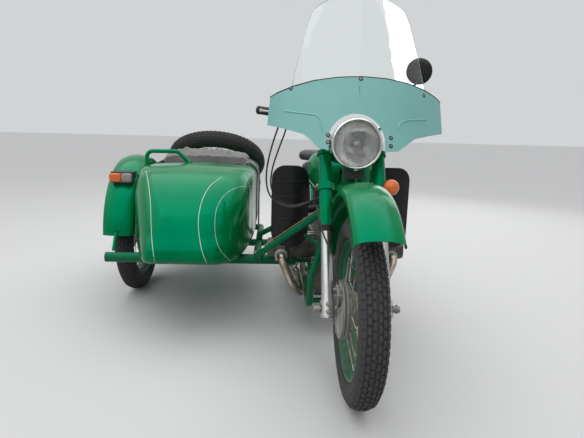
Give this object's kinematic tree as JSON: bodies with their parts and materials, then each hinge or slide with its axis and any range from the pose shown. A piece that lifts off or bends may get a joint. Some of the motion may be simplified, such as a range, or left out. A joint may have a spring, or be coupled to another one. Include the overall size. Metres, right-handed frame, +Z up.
{
  "type": "sidecar motorcycle",
  "caption": "Motorcycle with a flat engine, shaft drive and handlebar fairing, joined to a three-wheeled outfit's passenger sidecar with a boot and spare wheel.",
  "frame": {"origin": "middle of the footprint on the ground, below the vehicle's box", "axes": "+X to the vehicle's left, +Y to its rear, +Z up"},
  "size_m": [1.5979, 2.4614, 1.517],
  "materials": {
    "tyre_rubber": "matt",
    "rubber": "matt",
    "green_paint": "worn gloss",
    "green_wheel": "worn and dusty",
    "mint_paint": "faded gloss",
    "black_paint": "satin",
    "bare_alloy": "dull cast",
    "bare_steel": "dull",
    "bright_steel": "polished",
    "black_vinyl": "satin",
    "canvas": "woven",
    "clear_sheet": "clear",
    "black_plastic": "matt",
    "amber_plastic": "gloss"
  },
  "bodies": {
    "chassis": {"main_frame": "green_paint", "crankcase": "bare_alloy", "gearbox": "bare_alloy", "cylinders": "bare_alloy", "cylinder_heads": "bare_alloy", "carburettors": "bare_alloy", "air_cleaner": "black_paint", "exhausts": "bright_steel", "fuel_tank": "green_paint", "rider_saddle": "black_vinyl", "passenger_saddle": "black_vinyl", "rubber_mounts": "rubber", "rear_mudguard": "green_paint", "swing_arm": "green_paint", "final_drive": "bare_alloy", "drive_shaft": "bare_steel", "rear_axle": "bare_steel", "shock_absorbers": "bare_alloy", "battery": "black_plastic", "leg_shields": "black_paint", "foot_controls": "bare_steel", "sidecar_frame": "green_paint", "sidecar_struts": "green_paint", "sidecar_axle": "bare_steel", "sidecar_tub": "green_paint", "sidecar_seat": "black_vinyl", "cockpit_cover": "canvas", "sidecar_mudguard": "green_paint", "lamps": "amber_plastic", "grab_rail": "green_paint"},
    "fork": {"fork_legs": "bare_alloy", "front_axle": "bare_steel", "fork_yokes": "green_paint", "fork_covers": "green_paint", "front_brake_plate": "bare_alloy", "front_mudguard": "green_paint", "headlamp": "green_paint", "fairing": "mint_paint", "windscreen": "clear_sheet", "handlebar": "bright_steel", "grips": "rubber", "control_levers": "bare_alloy", "mirror": "bright_steel", "turn_signal": "amber_plastic", "relay_box": "bare_steel", "control_cables": "rubber"},
    "front_wheel_body": {"front_tyre": "tyre_rubber", "front_wheel": "green_wheel"},
    "rear_wheel_body": {"rear_tyre": "tyre_rubber", "rear_wheel": "green_wheel"},
    "sidecar_wheel_body": {"sidecar_tyre": "tyre_rubber", "sidecar_wheel": "green_wheel"},
    "lid": {"boot_lid": "green_paint", "spare_tyre": "tyre_rubber", "spare_wheel": "green_wheel"},
    "stand": {"centre_stand": "black_paint"}
  },
  "joints": [
    {"name": "steering", "type": "hinge", "parent": "chassis", "child": "fork", "pos_m": [0.407, -0.83254, 0.3178], "axis": [0, 0.454, 0.891], "range_deg": [-35, 35], "deforming": ["control_cables"]},
    {"name": "front_wheel_spin", "type": "hinge", "parent": "fork", "child": "front_wheel_body", "pos_m": [0.407, -0.886, 0.345], "axis": [1, 0, 0], "continuous": true},
    {"name": "rear_wheel_spin", "type": "hinge", "parent": "chassis", "child": "rear_wheel_body", "pos_m": [0.407, 0.614, 0.345], "axis": [1, 0, 0], "continuous": true},
    {"name": "sidecar_wheel_spin", "type": "hinge", "parent": "chassis", "child": "sidecar_wheel_body", "pos_m": [-0.723, 0.339, 0.345], "axis": [1, 0, 0], "continuous": true},
    {"name": "boot_lid_hinge", "type": "hinge", "parent": "chassis", "child": "lid", "pos_m": [-0.313, 0.726, 0.812], "axis": [1, 0, 0], "range_deg": [0, 30]},
    {"name": "centre_stand_pivot", "type": "hinge", "parent": "chassis", "child": "stand", "pos_m": [0.407, 0.114, 0.19], "axis": [-1, 0, 0], "range_deg": [0, 100], "stiffness_Nm_per_rad": 2.5, "springref_deg": -68.75}
  ]
}
